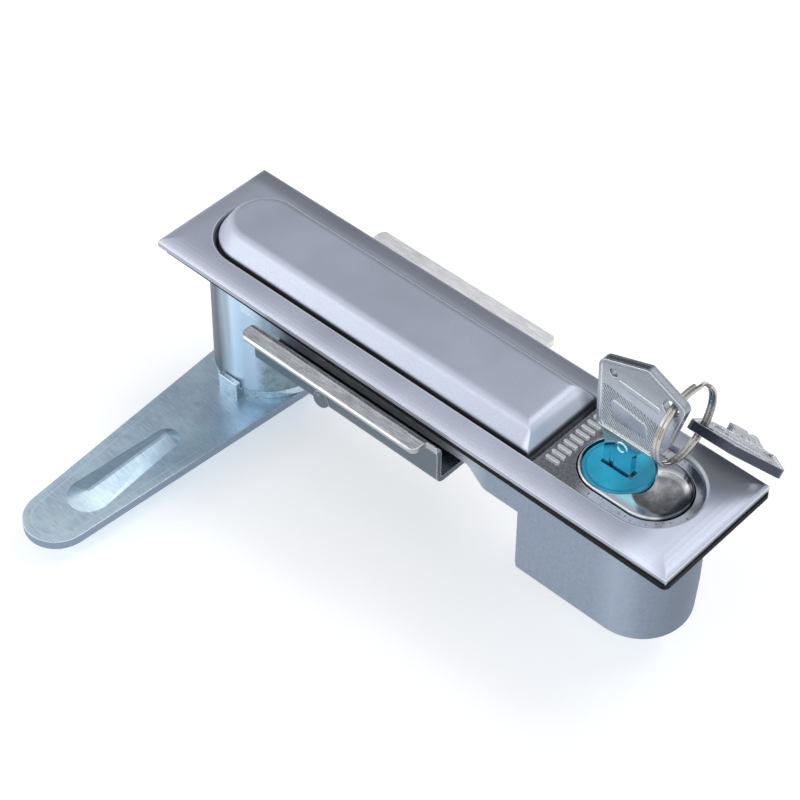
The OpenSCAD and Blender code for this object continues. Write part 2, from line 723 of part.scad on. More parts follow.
// Catch: a bell crank that the button pushes aside
module catch() color(ZINC) difference() {
    union() {
        translate([catch_x, 0, -catch_z]) rotate([90, 0, 0])
            cylinder(r = catch_hub_r, h = catch_w, center = true);
        translate([catch_x, 0, -catch_z]) run_y([
            [-1, 0], [-1, 8.2], [-1.4, 8.6], [-1.4, 10.4], [0.8, 10.4], [0.8, 1.8], [6.7, 1.8],
            [6.7, 0.2], [1, -1.7], [0, -2]], catch_w);
    }
    translate([catch_x, 0, -catch_z]) rotate([90, 0, 0])
        cylinder(r = catch_pin_r + fit, h = 60, center = true);
}

module catch_pin() color(STEEL) translate([catch_x, 0, -catch_z]) rotate([90, 0, 0])
    cylinder(r = catch_pin_r, h = catch_w + 5.2, center = true);

module catch_spring() color(STEEL)
    translate([catch_x + 4.2, 0, -box_z + 2]) coil_spring(1.7, 0.5, box_z - 2 - catch_z - 0.9, 9);

module cylinder_barrel() color(BRASS) difference() {
    union() {
        disc(barrel_r, -sleeve_z - 2.6, cap_z - 0.5, cyl_x);
    }
    disc(plug_r + fit, -sleeve_z - 4, cap_z, cyl_x);
    for (s = [1, -1]) block(cyl_x + s * 6.4 - 1, cyl_x + s * 6.4 + 1, -2.4, 2.4, -sleeve_z, -1.2);
    difference() {
        disc(barrel_r + 1, -sleeve_z - 1.5, -sleeve_z - 0.3, cyl_x);
        disc(barrel_r - 0.7, -sleeve_z - 2, -sleeve_z, cyl_x);
    }
}

// Horseshoe clip in the groove of the barrel
module cylinder_clip() color(STEEL) difference() {
    tube(barrel_r + 1.1, barrel_r - 0.65, -sleeve_z - 1.4, -sleeve_z - 0.4, cyl_x);
    block(cyl_x - 12, cyl_x - 2, -barrel_r + 0.9, barrel_r - 0.9, -sleeve_z - 2, -sleeve_z);
}

// Wafer levels down the plug
wafer_z = [for (i = [0:4]) -2.2 - 2.1 * i];
wafer_t = 0.9;

module cylinder_plug() color(BRASS) difference() {
    union() {
        disc(plug_r, -sleeve_z - 3, cap_z - 0.1, cyl_x);
        block(cyl_x - 3, cyl_x + 3, -3, 3, -sleeve_z - 5, -sleeve_z - 2.9);
    }
    block(key_x - blade_w / 2 - 0.25, key_x + blade_w / 2 + 0.25, -key_t / 2 - 0.15, key_t / 2 + 0.15,
          -key_tip_z - 2.5, cap_z + 1);
    for (z = wafer_z) {
        block(cyl_x - 8, cyl_x + 8, -2.3, 2.3, z - 0.05, z + wafer_t + 0.05);
        translate([cyl_x - 4.2, 3.3, z + wafer_t / 2]) rotate([0, 90, 0]) cylinder(r = 0.6, h = 3.2, $fn = 24);
    }
    disc(1.5, -sleeve_z - 6, -sleeve_z + 2.5, cyl_x);
}

module wafers() color(BRASS) for (z = wafer_z) difference() {
    intersection() {
        disc(plug_r - 0.1, z, z + wafer_t, cyl_x);
        block(cyl_x - 7, cyl_x + 7, -2.2, 2.2, z - 1, z + 2);
    }
    block(key_x - blade_w / 2 - 0.2, key_x + blade_w / 2 + 0.2, -key_t / 2 - 0.1, key_t / 2 + 0.1,
          z - 1, z + 2);
}

module wafer_springs() color(STEEL) for (z = wafer_z)
    translate([cyl_x - 4.1, 3.3, z + wafer_t / 2]) rotate([0, 90, 0]) difference() {
        cylinder(r = 0.5, h = 3, $fn = 24);
        at_z(-1) cylinder(r = 0.28, h = 5, $fn = 24);
    }

module cylinder_cap() color(BLUE) difference() {
    translate([cyl_x, 0, cap_z]) rotate_extrude() polygon(concat(
        [[0, 0], [cap_r - 0.3, 0], [cap_r, 0.3]],
        arc([cap_r - 0.8, cap_t - 0.8], 0.8, 0, 78, 5), [[0, cap_t]]));
    block(key_x - blade_w / 2 - 0.4, key_x + blade_w / 2 + 0.5, -key_t / 2 - 0.5, key_t / 2 + 0.35,
          cap_z - 1, cap_z + 5);
}

// Blocking cam on the tail of the plug
module locking_cam() color(ZINC) translate([cyl_x, 0, -sleeve_z - 4.8]) difference() {
    linear_extrude(1.6) rotate([0, 0, 90]) polygon(lever_outline(6.4, 3, 5.6, 12));
    block(-3 - fit, 3 + fit, -3 - fit, 3 + fit, -1, 3);
}

module cam_screw() color(STEEL) translate([cyl_x, 0, -sleeve_z - 5.1])
    pan_screw(1.5, 6, 4.4, 1.7);

module rear_cover() color(ZINC) {
    inner = box_r - box_wall - 0.15;
    x0 = box_x + box_wall + 0.15;
    difference() {
        union() {
            intersection() {
                union() {
                    stadium(x0 + inner, pocket_end, inner, -box_z, -box_z + 1.9);
                    block(x0, x0 + inner, -inner, inner, -box_z, -box_z + 1.9);
                }
                deep_box_side();
            }
            disc(2.8, -box_z, -box_z + 4.5, button_x + 3.9);
        }
        for (p = cover_screw_at) disc(1.4, -box_z - 1, -box_z + 3, p[0], p[1]);
    }
}

module cover_screws() color(STEEL)
    for (p = cover_screw_at) translate([p[0], p[1], -box_z]) pan_screw(1.25, 7, 2.4, 1.5);

// Outline of the key bow, in X and Z
bow = rounded([[45.2, blade_top, 1.2], [44.6, 34.2, 2.4], [57.5, 38.9, 1.2], [68.4, 33.8, 1.8],
               [64.4, 18.8, 4], [60.8, blade_top, 1]], 5);
bow_field = rounded([[46.4, blade_top + 1.2, 1], [45.9, 27.6, 1], [62, 24.6, 1], [61.6, 18.6, 3],
                     [60.2, blade_top + 1.2, 1]], 4);
bow_panel = rounded([[49.2, 18.4, 1], [48.6, 24.2, 1], [58.6, 22.4, 1], [59, 18.4, 1]], 4);

// Double sided key, upright in the plane y = 0
module key() difference() {
    union() {
        run_y(bow, key_t);
        run_y([[46.6, blade_top + 1], [key_x - blade_w / 2, blade_top - 3.6],
               [key_x + blade_w / 2, blade_top - 3.6], [59, blade_top + 1]], key_t);
        run_y(blade_outline(), key_t);
        // raised rim round the bow
        rotate([90, 0, 0]) linear_extrude(key_t + 0.3, center = true) difference() {
            polygon(bow);
            offset(delta = -0.8) polygon(bow);
        }
        // small round mark on the neck and the bar between the bow holes, on both faces
        translate([52.7, 0, blade_top - 2.5]) rotate([90, 0, 0]) difference() {
            cylinder(r = 1.6, h = key_t + 0.5, center = true);
            cylinder(r = 1.05, h = 5, center = true);
        }
        run_y(rounded([[50.4, 31.2, 0.3], [61.6, 30.0, 0.3], [61.6, 28.6, 0.3], [50.4, 29.8, 0.3]], 3),
              key_t + 0.5);
    }
    for (s = [1, -1]) {
        translate([0, s * key_t / 2, 0]) difference() {
            run_y(bow_field, 0.6);
            run_y(bow_panel, 2);
        }
        // groove down the blade
        translate([key_x + s * 1.6, s * (key_t / 2), 0]) block(-0.6, 0.6, -0.35, 0.35, -key_tip_z - 1, 9.6);
    }
    translate([ring_x, 0, key_hole_z]) rotate([90, 0, 0]) cylinder(r = key_hole_r, h = 9, center = true);
    translate([48.6, 0, 32]) rotate([90, 0, 0]) cylinder(r = 1.1, h = 9, center = true);
}

// Blade with its cuts on both edges and a bevelled tip
function blade_outline() = let (a = key_x - blade_w / 2, b = key_x + blade_w / 2)
    concat([[a, 11], [a, 3.6]], [for (i = [0:3]) let (z = 2.6 - 2.9 * i)
        each [[a, z], [a + 1.1, z - 0.9], [a + 1.1, z - 1.6], [a, z - 2.4]]],
        [[a + 1.6, -key_tip_z], [b - 1.6, -key_tip_z]],
        [for (i = [3:-1:0]) let (z = 3.9 - 2.9 * i)
        each [[b, z - 2.4], [b - 1.2, z - 1.6], [b - 1.2, z - 0.9], [b, z]]], [[b, 11]]);

module inserted_key() color(NICKEL) key();

// Split ring: two turns of flat wire with a jog where they cross
module key_ring() color(NICKEL) {
    first = 14;
    last = 706;
    step = 8;
    path = [for (a = [first:step:last]) let (j = min(max((a - 348) / 24, 0), 1), s = j * j * (3 - 2 * j))
        [ring_step * (s - 0.5), ring_r * cos(a + 60), ring_r * sin(a + 60)]];
    n = len(path);
    h = ring_wire / 2;
    rings = [for (i = [0:n - 1]) let (u = [1, 0, 0], v = dir([path[i][0], 0, 0], path[i]))
        [for (c = [[-1, -0.6], [-0.6, -1], [0.6, -1], [1, -0.6], [1, 0.6], [0.6, 1], [-0.6, 1], [-1, 0.6]])
            path[i] + h * c[0] * u + h * c[1] * v]];
    faces = concat([[for (k = [7:-1:0]) k]],
        [for (i = [0:n - 2], k = [0:7]) let (a = i * 8 + k, b = i * 8 + (k + 1) % 8)
            each [[a, b, b + 8], [a, b + 8, a + 8]]], [[for (k = [0:7]) (n - 1) * 8 + k]]);
    translate(ring_c) polyhedron([for (r = rings) each r], faces, convexity = 10);
}

// The spare key hangs from its ring hole, lower down the ring and behind the plate edge
module spare_key() color(NICKEL)
    translate(ring_c) rotate([-spare_at, 0, 0]) translate([0, ring_r + spare_drop, 0])
        rotate([90, 0, 0]) rotate([0, spare_hang, 0]) rotate([0, 0, 180])
            translate([-ring_x, 0, -key_hole_z]) key();

lock_base();
gasket();
handle();
handle_pin();
lift_spring();
spindle();
thrust_washer();
stop_washer();
cam_lever();
spring_washer();
lever_screw();
mounting_bracket();
bracket_screws();
button_deck();
deck_screws();
push_button();
button_spring();
catch();
catch_pin();
catch_spring();
cylinder_barrel();
cylinder_clip();
cylinder_plug();
cylinder_cap();
wafers();
wafer_springs();
locking_cam();
cam_screw();
rear_cover();
cover_screws();
inserted_key();
key_ring();
spare_key();
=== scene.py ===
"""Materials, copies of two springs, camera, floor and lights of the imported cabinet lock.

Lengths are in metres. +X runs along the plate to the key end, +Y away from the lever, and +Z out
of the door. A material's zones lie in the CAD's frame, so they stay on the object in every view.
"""
import math

import bpy
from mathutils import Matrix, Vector


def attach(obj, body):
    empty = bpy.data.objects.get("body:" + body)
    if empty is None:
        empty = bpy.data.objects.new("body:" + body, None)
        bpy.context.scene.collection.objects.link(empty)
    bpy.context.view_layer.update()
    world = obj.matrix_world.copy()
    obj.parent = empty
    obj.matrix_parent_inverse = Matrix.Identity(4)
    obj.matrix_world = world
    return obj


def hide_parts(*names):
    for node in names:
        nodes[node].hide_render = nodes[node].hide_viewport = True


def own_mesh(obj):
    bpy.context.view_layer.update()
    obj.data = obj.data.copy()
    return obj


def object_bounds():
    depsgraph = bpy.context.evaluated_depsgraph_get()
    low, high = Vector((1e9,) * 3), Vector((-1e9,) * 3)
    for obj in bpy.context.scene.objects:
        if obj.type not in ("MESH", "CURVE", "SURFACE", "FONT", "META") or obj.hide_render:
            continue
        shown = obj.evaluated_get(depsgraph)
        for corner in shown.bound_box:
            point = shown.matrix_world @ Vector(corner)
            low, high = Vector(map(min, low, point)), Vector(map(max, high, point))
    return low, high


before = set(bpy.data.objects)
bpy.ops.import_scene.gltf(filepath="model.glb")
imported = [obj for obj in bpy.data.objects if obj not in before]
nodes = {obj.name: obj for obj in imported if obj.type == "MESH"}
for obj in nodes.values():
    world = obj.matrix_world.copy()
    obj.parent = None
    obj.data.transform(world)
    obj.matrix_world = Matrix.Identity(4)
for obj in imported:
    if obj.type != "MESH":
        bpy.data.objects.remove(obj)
cad_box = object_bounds()
scene = bpy.context.scene

# ---------------------------------------------------------------- colours
SATIN = (0.56, 0.595, 0.70)
CHROME = (0.54, 0.56, 0.60)
LEVER_ZINC = (0.62, 0.79, 1.0)
BRACKET_ZINC = (0.72, 0.735, 0.75)
SMALL_ZINC = (0.60, 0.70, 0.79)
STEEL = (0.50, 0.51, 0.53)
BRASS = (0.66, 0.47, 0.19)
RING_NICKEL = (0.50, 0.475, 0.45)
KEY_NICKEL = (0.50, 0.54, 0.60)
SPARE_NICKEL = (0.42, 0.44, 0.48)
SPARE_FACE_SHADE = (0.075, 0.083, 0.110)
NYLON = (0.72, 0.70, 0.64)
WHITE = (1.0, 1.0, 1.0)
BLACK = (0.0, 0.0, 0.0)

# ---------------------------------------------------------------- places on the lock
POCKET_END = 0.0611         # the handle's pocket: its round ends are centred at +-X here
DECK_TOP = 0.0034
STRIP_MIDDLE, STRIP_HALF = 0.0564, 0.0047   # straight middle line of the strip round the button
SCOOP_X = 0.0638            # the button's finger scoop
CAP_X = 0.0517              # the cylinder's blue cap
LEVER_TIP = (-0.0611, -0.0737)
LEVER_TIP_RADIUS = 0.0088
LEVER_TAPER = 0.0733        # growth of the lever's half width per metre from its tip
SUNK_FACE = 0.0007          # the sunk field of a key's bow lies at +-Y here
SPRING_FOOT = -0.0332


# ---------------------------------------------------------------- shader nodes in short
class Tree:
    """The nodes of a material or world. A value is a constant, an output or a node."""

    FACTOR, FIRST, SECOND, RESULT = 0, 6, 7, 2      # a Mix node's colour sockets
    WEAR_START, WEAR_FULL = 0.97, 0.80              # cosine between softened and own normal, where the painted edge highlight starts and is full

    def __init__(self, owner, output="OutputMaterial"):
        owner.use_nodes = True
        self.owner = owner
        self.tree = owner.node_tree
        self.tree.nodes.clear()
        self.out = self.new(output)

    def new(self, kind, **settings):
        node = self.tree.nodes.new("ShaderNode" + kind)
        for key, value in settings.items():
            setattr(node, key, value)
        return node

    def put(self, socket, value):
        """Joins a value to an input, or sets the input to it."""
        if hasattr(value, "is_output"):
            self.tree.links.new(value, socket)
        elif hasattr(value, "outputs"):
            self.tree.links.new(value.outputs[0], socket)
        elif socket.type == "RGBA":
            socket.default_value = (*value, 1.0)
        else:
            socket.default_value = value

    def fill(self, node, **values):
        """Puts values into a node's inputs by their names, with _ for a space."""
        for key, value in values.items():
            self.put(node.inputs[key.replace("_", " ")], value)
        return node

    def fill_first(self, node, *values):
        """Puts values into a node's first inputs, in their order."""
        for socket, value in zip(node.inputs, values):
            self.put(socket, value)
        return node

    def xyz(self, source="Object"):
        """The three parts of the place in the CAD's frame, or of the normal there."""
        parts = self.fill_first(self.new("SeparateXYZ"), self.new("TexCoord").outputs[source])
        return parts.outputs["X"], parts.outputs["Y"], parts.outputs["Z"]

    def noise(self, scale, detail=3.0, rough=0.55, stretch=(1, 1, 1), turn=(0, 0, 0)):
        """Noise from 0 to 1, finer along the axes where stretch is larger."""
        place = self.fill(self.new("Mapping"), Vector=self.new("TexCoord").outputs["Object"],
                          Scale=stretch, Rotation=turn)
        return self.fill(self.new("TexNoise"), Vector=place, Scale=scale, Detail=detail,
                         Roughness=rough).outputs["Fac"]

    def ramp(self, value, *stops):
        """A colour for each value, from stops of place and colour in rising order."""
        node = self.fill(self.new("ValToRGB"), Fac=value)
        elements = node.color_ramp.elements
        while len(elements) > 1:
            elements.remove(elements[-1])
        (first_place, first_colour), *others = stops
        elements[0].position = first_place
        elements[0].color = (*first_colour, 1)
        for place, colour in others:
            elements.new(place).color = (*colour, 1)
        return node.outputs["Color"]

    def span(self, value, start, end, low=0.0, high=1.0):
        """low before start, high past end and straight between; start may lie above end."""
        return self.fill_first(self.new("MapRange"), value, start, end, low, high).outputs["Result"]

    def band(self, value, rise, fall, high=1.0):
        """high between two places: it starts and is full over rise, and ends over fall."""
        return self.times(self.span(value, *rise), self.span(value, fall[1], fall[0], high=high))

    def math(self, operation, *values):
        return self.fill_first(self.new("Math", operation=operation), *values).outputs[0]

    def times(self, product, *others):
        for value in others:
            product = self.math("MULTIPLY", product, value)
        return product

    def plus(self, total, *others):
        for value in others:
            total = self.math("ADD", total, value)
        return total

    def minus(self, a, b):
        return self.math("SUBTRACT", a, b)

    def size(self, value):
        return self.math("ABSOLUTE", value)

    def length(self, x, y):
        return self.math("SQRT", self.plus(self.times(x, x), self.times(y, y)))

    def from_slot(self, x, y, middle, half):
        """Distance from a slot's middle line, which runs along X to half on either side."""
        past_end = self.math("MAXIMUM", self.minus(self.size(self.minus(x, middle)), half), 0.0)
        return self.length(past_end, y)

    def mix(self, share, first, second, blend="MIX"):
        node = self.new("Mix", data_type="RGBA", blend_type=blend)
        self.put(node.inputs[self.FACTOR], share)
        self.put(node.inputs[self.FIRST], first)
        self.put(node.inputs[self.SECOND], second)
        return node.outputs[self.RESULT]

    def soft_edge(self, radius):
        """The normal, rounded over the object's edges."""
        return self.fill(self.new("Bevel", samples=6), Radius=radius).outputs[0]

    def edge(self, soft, high=1.0):
        """high on edges, where the softened normal leaves the face's own; it masks a painted edge
        highlight.
        """
        own = self.new("NewGeometry").outputs["True Normal"]
        cosine = self.fill_first(self.new("VectorMath", operation="DOT_PRODUCT"), soft, own)
        return self.span(cosine.outputs["Value"], self.WEAR_START, self.WEAR_FULL, high=high)

    def bump(self, height, distance, strength, normal=None):
        node = self.fill(self.new("Bump"), Height=height, Distance=distance, Strength=strength)
        if normal is not None:
            self.put(node.inputs["Normal"], normal)
        return node.outputs[0]

    def surface(self, colour, metallic, rough, normal, **others):
        """Joins the values in one shader, and gives the finished material back."""
        shader = self.fill(self.new("BsdfPrincipled"), Base_Color=colour, Metallic=metallic,
                           Roughness=rough, Normal=normal, **others)
        self.put(self.out.inputs["Surface"], shader)
        return self.owner

    def emission(self, colour, strength=1.0):
        return self.fill(self.new("Emission"), Color=colour, Strength=strength)

    def seen(self):
        """1 where the camera looks straight, by reflection or through glass."""
        path = self.new("LightPath").outputs
        straight = self.math("MAXIMUM", path["Is Camera Ray"], path["Is Glossy Ray"])
        return self.math("MAXIMUM", straight, path["Is Transmission Ray"])


def material(name):
    return Tree(bpy.data.materials.new(name))


def tint(colour, share):
    """A darker or brighter form of a colour, with no part above 1."""
    return tuple(min(1.0, part * share) for part in colour)


# ---------------------------------------------------------------- satin chrome
# A pair of places gives where a zone starts and where it is full. Its name ends in the axis it
# lies along, or has none where it is a distance. A FALL pair gives where a zone begins to end and
# where it has ended.
HANDLE_END_X = (0.0324, 0.0334)
HANDLE_FAR_Y = (0.0070, 0.0095)
GAP_SHADE_RISE_Z, GAP_SHADE_FALL_Z = (0.0026, 0.0032), (0.0045, 0.0053)
HANDLE_END_HIGHLIGHT, GAP_SHADE = (0.81, 0.85, 0.98), (0.025, 0.03, 0.04)

# the chamfer and its lip are distances from the pocket's middle line
CHAMFER, CHAMFER_Z = (0.01295, 0.01280), (0.0036, 0.0039)
LIP_RISE, LIP_FALL = (0.01275, 0.01285), (0.01300, 0.01310)
LIP_Z, LIP_Y = (0.0040, 0.0042), (0.0, -0.004)
KEY_END_LIGHT_RISE_X, PLATE_END_X = (0.065, 0.071), (0.0745, 0.0785)
WALL_Y, WALL_X, WALL_Z = (0.0178, 0.0180), (0.0790, 0.0792), (0.00290, 0.00284)
CREASE_RISE_Z, CREASE_FALL_Z = (0.00280, 0.00286), (0.00302, 0.00308)
SHADE_Y, SHADE_X = (0.0120, 0.0145), (0.060, 0.045)
GLARE_Y, GLARE_RISE_X = (0.0080, 0.0120), (0.058, 0.066)
LIP_HIGHLIGHT, CREASE_HIGHLIGHT, GLARE = (0.98, 0.97, 0.95), (0.86, 0.93, 1.0), (0.96, 0.98, 1.0)

UNDER_PLATE_Z = (0.0016, 0.0012)
BOX_PALE_RISE_X, BOX_PALE_FALL_X = (0.0570, 0.0630), (0.0630, 0.0690)
BOX_END_X = (0.067, 0.074)
SHELF_X, SHELF_Y, SHELF_LIMIT_X = (0.025, 0.010), (-0.0110, -0.0120), (-0.0400, -0.0300)
CAST_DARK, CAST_LIGHT = (0.29, 0.345, 0.435), (0.335, 0.395, 0.485)
BOX_HIGHLIGHT, BOX_END_SHADE, SHELF_LIGHT = (0.44, 0.51, 0.61), (0.13, 0.16, 0.205), (0.95, 0.97, 1.0)

# the boss's painted highlight and shade change along one level direction, which ACROSS_X and
# ACROSS_Y give
BOSS_X = (-0.0455, -0.0465)
ACROSS_X, ACROSS_Y = 0.733, 0.681
BOSS_ACROSS = (-0.0584, -0.0312)
BOSS_LIGHT_AND_SHADE = ((0.03, (0.10, 0.13, 0.17)), (0.18, (0.66, 0.80, 0.95)), (0.36, (0.62, 0.76, 0.90)),
               (0.52, (0.30, 0.41, 0.48)), (0.80, (0.20, 0.28, 0.33)))
FOOT_PATCH_ACROSS, FOOT_PATCH_Z, FOOT_PATCH = (-0.0490, -0.0455), (-0.017, -0.022), (0.10, 0.16, 0.18)
CAST_ROUGHER, BOSS_ROUGHER = 0.16, -0.16


def satin(name, zones):
    """Pearl chrome on a blasted casting: fine even grain and slow changes of shade.

    zones paints the places of the piece that look otherwise, here and below.
    """
    t = material(name)
    slow = t.noise(55, detail=2, rough=0.5)
    grain = t.noise(2600, detail=3, rough=0.65)
    col = t.mix(t.span(slow, 0.3, 0.7), tint(SATIN, 0.94), tint(SATIN, 1.05))
    col = t.mix(t.span(grain, 0.36, 0.64, high=0.55), col, tint(SATIN, 0.84))
    rough = t.plus(t.span(slow, 0.3, 0.7, low=0.40, high=0.46),
                   t.span(grain, 0.3, 0.7, low=-0.04, high=0.04))
    col, rough = zones(t, col, rough)
    soft = t.soft_edge(radius=0.0005)
    # a painted highlight on the edges
    col = t.mix(t.edge(soft, high=0.35), col, tint(SATIN, 1.35))
    normal = t.bump(grain, distance=0.00002, strength=0.35, normal=soft)
    return t.surface(col, metallic=0.78, rough=rough, normal=normal)


def handle_zones(t, col, rough):
    """A painted highlight on the sloped end, painted shade on the far slope, and a line of painted
    shade at the foot.
    """
    x, y, z = t.xyz()
    # a painted highlight on the sloped end, and painted shade on the far slope
    col = t.mix(t.span(x, *HANDLE_END_X), col, HANDLE_END_HIGHLIGHT)
    col = t.mix(t.span(y, *HANDLE_FAR_Y, high=0.8), col, tint(SATIN, 0.58))
    # a line of painted shade in the gap where the handle's side meets the plate's face
    col = t.mix(t.band(z, GAP_SHADE_RISE_Z, GAP_SHADE_FALL_Z, high=0.85), col, GAP_SHADE)
    return col, rough


def casting_zones(t, col, rough):
    """Plate, box and boss are one casting, duller below the door than on the plate."""
    x, y, z = t.xyz()
    # painted shade in the chamfer round the pocket, and a painted highlight where its lip catches
    # the light on the near side
    away = t.from_slot(x, y, 0.0, POCKET_END)
    chamfer_shade = t.times(t.span(away, *CHAMFER), t.span(z, *CHAMFER_Z, high=0.75))
    col = t.mix(chamfer_shade, col, tint(SATIN, 0.22))
    lip = t.times(t.band(away, LIP_RISE, LIP_FALL, high=0.7), t.span(z, *LIP_Z),
                  t.span(y, *LIP_Y))
    col = t.mix(lip, col, LIP_HIGHLIGHT)
    # painted light at the key end of the plate
    col = t.mix(t.band(x, KEY_END_LIGHT_RISE_X, PLATE_END_X, high=0.9), col, tint(SATIN, 1.42))
    # painted shade on the plate's side wall, under a painted highlight along its crease
    wall = t.math("MAXIMUM", t.span(t.size(y), *WALL_Y), t.span(t.size(x), *WALL_X))
    col = t.mix(t.times(wall, t.span(z, *WALL_Z, high=0.7)), col, tint(SATIN, 0.68))
    col = t.mix(t.times(wall, t.band(z, CREASE_RISE_Z, CREASE_FALL_Z)), col, CREASE_HIGHLIGHT)
    # the far side of the plate lies in the shade, and shines beside the button
    shade = t.times(t.span(y, *SHADE_Y, high=0.8), t.span(x, *SHADE_X))
    col = t.mix(shade, col, tint(SATIN, 0.55))
    glare = t.times(t.span(y, *GLARE_Y, high=0.9), t.band(x, GLARE_RISE_X, PLATE_END_X))
    col = t.mix(glare, col, GLARE)

    low = t.span(z, *UNDER_PLATE_Z)
    cloud = t.noise(900, detail=4, rough=0.65)
    cast = t.mix(t.span(cloud, 0.35, 0.65), CAST_DARK, CAST_LIGHT)
    # a band of painted highlight on the box's side, and painted shade towards its end
    cast = t.mix(t.band(x, BOX_PALE_RISE_X, BOX_PALE_FALL_X, high=0.5), cast, BOX_HIGHLIGHT)
    cast = t.mix(t.span(x, *BOX_END_X, high=0.62), cast, BOX_END_SHADE)
    # painted light on the trough's near wall, between the plate and the bracket's flange, where
    # shadow falls
    shelf = t.times(t.span(x, *SHELF_X), t.span(y, *SHELF_Y), t.span(x, *SHELF_LIMIT_X))
    cast = t.mix(shelf, cast, SHELF_LIGHT)
    col = t.mix(low, col, cast)
    rough = t.plus(rough, t.times(low, CAST_ROUGHER))

    # the turned boss is bluer and smoother, with painted highlight and shade across it, and darker
    # dappled patches at its foot
    boss = t.times(low, t.span(x, *BOSS_X))
    streak = t.noise(26, detail=2, rough=0.5, stretch=(9, 9, 0.6))
    across = t.plus(t.times(x, ACROSS_X), t.times(y, ACROSS_Y),
                    t.span(streak, 0.3, 0.7, low=-0.0010, high=0.0010))
    blue = t.ramp(t.span(across, *BOSS_ACROSS), *BOSS_LIGHT_AND_SHADE)
    foot_patches = t.times(t.span(t.noise(240, detail=5, rough=0.65), 0.46, 0.62, high=0.6),
                    t.span(across, *FOOT_PATCH_ACROSS), t.span(z, *FOOT_PATCH_Z))
    blue = t.mix(foot_patches, blue, FOOT_PATCH)
    return t.mix(boss, col, blue), t.plus(rough, t.times(boss, BOSS_ROUGHER))


# ---------------------------------------------------------------- zinc plate and plain steel
LEVER_SHADE_X, LEVER_SHADE_Y = (-0.0620, -0.0530), (-0.0620, -0.0450)
LEVER_SHADE, LEVER_RIM_HIGHLIGHT, LEVER_LINE_HIGHLIGHT = (0.74, 0.81, 0.87), (0.74, 0.88, 1.0), (0.80, 0.93, 1.0)
TIP_FADE = (0.050, 0.020)           # distance from the tip's centre
RIM_INWARD = (0.0016, 0.0009)       # distance in from the lever's outline
LINE_RISE, LINE_FALL = (0.0019, 0.0021), (0.0023, 0.0026)
FLANK_SLANT, FLANK_UP, FLANK_SHADE = (-0.08, -0.25), (0.3, 0.5), (0.42, 0.50, 0.58)
UPRIGHT = (0.5, 0.15)               # size of the normal's Z on upright faces, which get painted shade: a sheet's cut edge and the bracket's walls
FAR_FLANGE_Y = (0.0180, 0.0184)
FLANGE_DARK, FLANGE_LIGHT = (0.80, 0.81, 0.82), (0.95, 0.95, 0.95)
WELL_Z, WELL_SHADE = (-0.0022, -0.0030), (0.14, 0.175, 0.205)
HUES = ((0.35, (1.0, 0.97, 0.92)), (0.5, WHITE), (0.66, (0.90, 0.97, 1.0)))
SHEARED_ROUGHER, FLANGE_ROUGHER = 0.14, 0.30


def zinc(name, base, rough, brush, hue=0.55, dark_lines=0.35, zones=None):
    """Zinc plate over drawn sheet: brush lines, cloudy bright patches and a faint iridescence.

    brush is how fine the lines are along each axis, hue the strength of the iridescence, and
    dark_lines that of the dark lines among them.
    """
    t = material(name)
    lines = t.noise(1.0, detail=3, rough=0.6, stretch=brush)
    cloud = t.noise(70, detail=4, rough=0.6)
    speck = t.noise(2600, detail=2, rough=0.5)
    col = t.mix(t.span(cloud, 0.36, 0.64), tint(base, 0.72), tint(base, 1.14))
    col = t.mix(t.span(lines, 0.46, 0.62, high=0.55), col, tint(base, 1.40))
    col = t.mix(t.span(lines, 0.44, 0.34, high=dark_lines), col, tint(base, 0.62))
    hues = t.ramp(t.noise(38, detail=2, rough=0.5), *HUES)
    col = t.mix(hue, col, hues, "MULTIPLY")
    rough = t.plus(t.span(lines, 0.35, 0.65, low=rough - 0.07, high=rough + 0.07),
                   t.span(cloud, 0.3, 0.7, low=0.05, high=-0.05))
    if zones:
        col, rough = zones(t, col, rough, lines)
    soft = t.soft_edge(radius=0.0004)
    # a painted highlight on the edges
    col = t.mix(t.edge(soft, high=0.7), col, tint(base, 1.7))
    normal = t.bump(lines, distance=0.00004, strength=0.35, normal=soft)
    normal = t.bump(speck, distance=0.00002, strength=0.25, normal=normal)
    return t.surface(col, metallic=0.86, rough=rough, normal=normal)


def upright_rough_and_shaded(t, col, rough, shade):
    """Upright faces, such as a sheet's cut edge, are rougher, and darker with painted shade."""
    upright = t.span(t.size(t.xyz("Normal")[2]), *UPRIGHT)
    rough = t.plus(rough, t.times(upright, SHEARED_ROUGHER))
    return t.mix(upright, col, shade), rough


def lever_zones(t, col, rough, _lines):
    """Painted shade on the lever, a painted highlight along its rim, painted shade on its rib's far
    flank, and its rougher, shaded cut edge.
    """
    x, y, _ = t.xyz()
    # painted shade beside the boss, on the side that faces the bracket
    shade = t.times(t.span(x, *LEVER_SHADE_X), t.span(y, *LEVER_SHADE_Y))
    col = t.mix(shade, col, LEVER_SHADE, "MULTIPLY")
    # a painted highlight follows the rounded rim, with a fine painted highlight line inside it
    x, y = t.minus(x, LEVER_TIP[0]), t.minus(y, LEVER_TIP[1])
    out = t.length(x, t.math("MINIMUM", y, 0.0))
    half = t.plus(t.times(t.math("MAXIMUM", y, 0.0), LEVER_TAPER), LEVER_TIP_RADIUS)
    inward = t.minus(half, out)
    tip = t.span(y, *TIP_FADE)
    col = t.mix(t.times(t.span(inward, *RIM_INWARD, high=0.30), tip), col, LEVER_RIM_HIGHLIGHT)
    col = t.mix(t.times(t.band(inward, LINE_RISE, LINE_FALL, high=0.5), tip), col, LEVER_LINE_HIGHLIGHT)
    # painted shade on the rib's flank that faces away from the light
    slant, _, up = t.xyz("Normal")
    flank = t.times(t.span(slant, *FLANK_SLANT, high=0.8), t.span(up, *FLANK_UP))
    col = t.mix(flank, col, FLANK_SHADE, "MULTIPLY")
    return upright_rough_and_shaded(t, col, rough, tint(LEVER_ZINC, 0.42))


